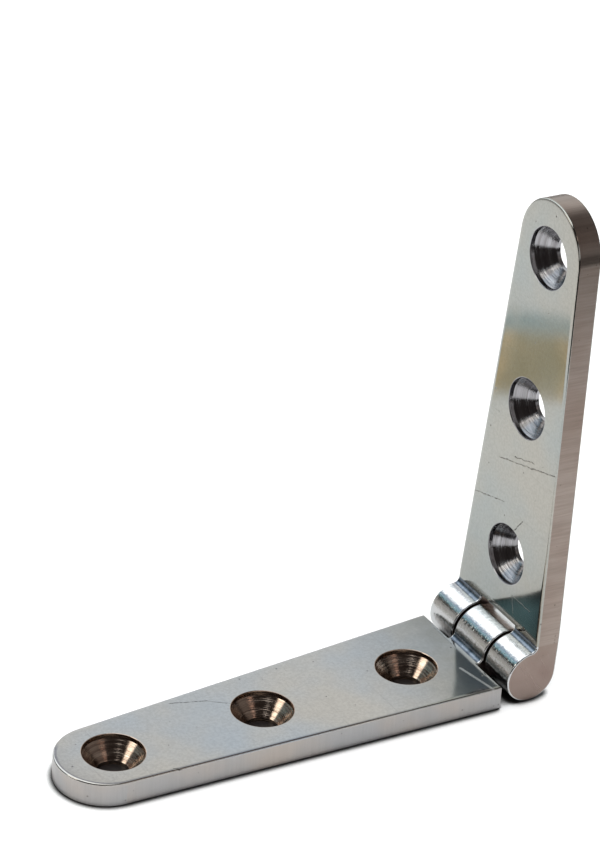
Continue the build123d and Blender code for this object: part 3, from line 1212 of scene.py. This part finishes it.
# %% [markdown]
# The board's colour darkens where little light can reach it: right under an edge, and in the
# strip under the lying leaf that its screw holes look down on. That anchors the metal. Mirror
# reflections see a greyer board with two slanting sheets on it, ochre and teal, as things that
# lie about in a workshop would be. They give the standing leaf its coloured bands, and only
# rays that come off gloss meet them.

# %% Paint of the board
WHITE = (0.9, 0.9, 0.9, 1)
MIRRORED_GREY = (0.65, 0.65, 0.65, 1)
SHADOW = (0.01, 0.008, 0.008, 1)
TEAL = (0.30, 0.37, 0.38, 1)
OCHRE_DEEP = (0.36, 0.30, 0.19, 1)
OCHRE_BRIGHT = (0.62, 0.46, 0.27, 1)
CONTACT_REACH = 0.0025
SHEET_BLUR = 0.004
STRIP_BLUR = 0.001


def inside(tree, value, low, high, soft):
    """1 between low and high, with soft borders: a rising step times a falling one."""
    rise = ease(tree, value, low - soft, low + soft)
    return sum_of(tree, "MULTIPLY", rise, ease(tree, value, high - soft, high + soft, 1.0, 0.0))


paint = bpy.data.materials.new("white_board")
paint.use_nodes = True
tree = paint.node_tree
point = own_place(tree)
place = add(tree, "ShaderNodeSeparateXYZ", [(0, point)]).outputs
shade = add(tree, "ShaderNodeAmbientOcclusion", [("Distance", CONTACT_REACH)], samples=16)
lit = ease(tree, shade.outputs["AO"], 0.5, 0.85)
under_x = inside(tree, place["X"], -0.037, 0.044, STRIP_BLUR)
under_y = inside(tree, place["Y"], -0.006, 0.006, STRIP_BLUR)
hidden = sum_of(tree, "MULTIPLY", under_x, under_y)
lit = sum_of(tree, "MULTIPLY", lit, sum_of(tree, "SUBTRACT", 1.0, hidden))
board = blend_colours(tree, lit, SHADOW, WHITE)
grey = blend_colours(tree, lit, SHADOW, MIRRORED_GREY)
across = sum_of(tree, "MULTIPLY", place["Y"], 0.86)
slanting = sum_of(tree, "MULTIPLY_ADD", place["X"], -0.51, across)
cloth = noise(tree, point, 45.0, detail=1.0)
ochre = blend_colours(tree, ease(tree, cloth, 0.4, 0.7), OCHRE_DEEP, OCHRE_BRIGHT)
for low, high, tint in ((0.0895, 0.122, ochre), (0.122, 0.1305, TEAL)):
    sheet = inside(tree, slanting, low, high, SHEET_BLUR)
    sheet = sum_of(tree, "MULTIPLY", sheet, inside(tree, place["X"], -0.06, 0.0, SHEET_BLUR))
    grey = blend_colours(tree, sheet, grey, tint)
mirrored = add(tree, "ShaderNodeLightPath").outputs["Is Glossy Ray"]
board_shader = tree.nodes["Principled BSDF"]
tree.links.new(blend_colours(tree, mirrored, board, grey), board_shader.inputs["Base Color"])
board_shader.inputs["Roughness"].default_value = 0.35
board_shader.inputs["Specular IOR Level"].default_value = 0.3
floor_mesh.materials.append(paint)
print("white_board has", len(tree.nodes), "nodes")

# %% [markdown]
# Bright metal looks like what it reflects, so the studio matters as much as the metal. A long
# soft light hangs overhead, parallel to the pin, a paler wall stands behind, and a small
# light stands on the left; between them the room is dark. Each light is a window in two
# coordinates: the angle about the pin's direction, from the right over the top, and how far
# the direction points to the rear. Drawn into the world by direction, the lights keep their
# places for every view, and soft borders are easy. The window is a product of four soft steps.

# %% A window of light
def make_window():
    """Group: 1 inside a window of angle and rearward share, with soft borders."""
    names = ["Angle", "Rear", "Start", "End", "Near", "Far", "Blur", "Rear Blur"]
    tree, start, end = new_group("window", [(name, "value") for name in names], [("Amount", "value")])
    got = start.outputs
    amount = None
    for value, low, high, blur in (("Angle", "Start", "End", "Blur"), ("Rear", "Near", "Far", "Rear Blur")):
        for limit, first, last in ((low, 0.0, 1.0), (high, 1.0, 0.0)):
            below = sum_of(tree, "SUBTRACT", got[limit], got[blur])
            above = sum_of(tree, "ADD", got[limit], got[blur])
            step = ease(tree, got[value], below, above, first, last)
            amount = step if amount is None else sum_of(tree, "MULTIPLY", amount, step)
    tree.links.new(amount, end.inputs["Amount"])
    return tree


window = make_window()
print("window has", len(window.nodes), "nodes")

# %% [markdown]
# The windows are added up over the colour of the dark room. The turned barrel and the faces
# mirror them as bands. What falls on the board, and what stands behind it, is even soft white
# light, because a dark room would make the board grey.

# %% Studio lights
TURN_DEGREES = 180 / math.pi
EVEN_LEVEL = 1.8
world = bpy.data.worlds.new("studio")
bpy.context.scene.world = world
world.use_nodes = True
tree = world.node_tree
toward_sky = add(tree, "ShaderNodeTexCoord").outputs["Generated"]
direction = add(tree, "ShaderNodeSeparateXYZ", [(0, toward_sky)])
angle = sum_of(tree, "ARCTAN2", direction.outputs["Z"], direction.outputs["X"])
angle = sum_of(tree, "MULTIPLY", sum_of(tree, "WRAP", angle, 2 * math.pi, 0.0), TURN_DEGREES)
# Name, start and end angle, near and far rearward share, the two blurs, brightness, tint.
panels = [
    ("overhead", 77, 120, -0.3, 1.5, 2.5, 0.06, 1.9, (0.94, 0.98, 1.0)),
    ("rear wall", -20, 60, 0.3, 1.5, 5, 0.2, 0.95, (0.97, 1.0, 1.0)),
    ("rear wall shade", 60, 77, 0.3, 1.5, 5, 0.2, 0.6, (0.85, 0.9, 1.0)),
    ("blue shoulder", 121, 133, 0.3, 1.5, 2, 0.1, 0.55, (0.6, 0.75, 0.95)),
    ("teal shoulder", 133, 140.5, 0.3, 1.5, 1.5, 0.1, 0.7, (0.5, 0.9, 1.0)),
    ("left light", 134, 153, 0.03, 0.40, 2, 0.04, 3.2, (1.0, 0.95, 0.86)),
    ("left wall", 156, 184, 0.3, 1.5, 2, 0.1, 0.42, (1.0, 0.97, 0.9)),
    ("below", 184, 341, -0.2, 1.5, 2, 0.2, 0.5, (1.0, 1.0, 1.0)),
    ("front wall", 0, 180, -1.5, -0.86, 10, 0.05, 0.55, (0.95, 0.97, 1.0)),
    ("right fill", -10, 55, -0.86, 0.3, 6, 0.1, 0.16, (1.0, 0.92, 0.88)),
    ("right strip", 58, 76, -0.75, -0.65, 3, 0.02, 1.2, (1.0, 0.75, 0.65)),
]
ROOM = (0.035, 0.03, 0.028, 1)
light = None
for name, start, stop, near, far, blur, rear_blur, level, tint in panels:
    pairs = [
        ("Angle", angle),
        ("Rear", direction.outputs["Y"]),
        ("Start", start),
        ("End", stop),
        ("Near", near),
        ("Far", far),
        ("Blur", blur),
        ("Rear Blur", rear_blur),
    ]
    amount = placed_group(tree, window, pairs)[0]
    colour = blend_colours(tree, amount, (0, 0, 0, 1), (*(level * part for part in tint), 1))
    light = blend_colours(tree, 1.0, ROOM if light is None else light, colour, kind="ADD")
studio = tree.nodes["Background"]
tree.links.new(light, studio.inputs["Color"])
studio.inputs["Strength"].default_value = 1.0
even = add(tree, "ShaderNodeBackground", [("Color", (1, 1, 1, 1)), ("Strength", EVEN_LEVEL)])
path = add(tree, "ShaderNodeLightPath")
plain = sum_of(tree, "MAXIMUM", path.outputs["Is Diffuse Ray"], path.outputs["Is Camera Ray"])
choose = add(tree, "ShaderNodeMixShader", [(0, plain), (1, studio.outputs[0]), (2, even.outputs[0])])
tree.links.new(choose.outputs[0], tree.nodes["World Output"].inputs["Surface"])
print("studio windows", [panel[0] for panel in panels])

# %% [markdown]
# The camera looks down on the hinge from the front left through a long lens, which keeps the
# taper of the leaves true. It is placed by the direction and the distance from the point that
# it looks at, and is rolled a little about its line of sight.

# %% Camera
SENSOR_WIDTH = 36
camera_azimuth = math.radians(-32.665)
camera_elevation = math.radians(30.911)
camera_roll = math.radians(3.695)
camera_distance = 0.825456
camera_aim = Vector((0.004321, 0.0, 0.065984))
lens = 191.454
camera_data = bpy.data.cameras.new("camera")
camera = bpy.data.objects.new("camera", camera_data)
bpy.context.scene.collection.objects.link(camera)
level_part = math.cos(camera_elevation)
toward_x = -math.sin(camera_azimuth) * level_part
toward_y = math.cos(camera_azimuth) * level_part
toward = Vector((toward_x, toward_y, -math.sin(camera_elevation)))
facing = toward.to_track_quat("-Z", "Y").to_matrix() @ Matrix.Rotation(camera_roll, 3, "Z")
camera.matrix_world = Matrix.Translation(camera_aim - toward * camera_distance) @ facing.to_4x4()
camera_data.lens = lens
camera_data.sensor_width = SENSOR_WIDTH
camera_data.sensor_fit = "AUTO"
camera_data.clip_start = 0.01
camera_data.clip_end = 20
bpy.context.scene.camera = camera
bpy.context.scene.view_settings.view_transform = "Standard"
print("camera at", tuple(round(part, 3) for part in camera.matrix_world.translation), "lens", lens)
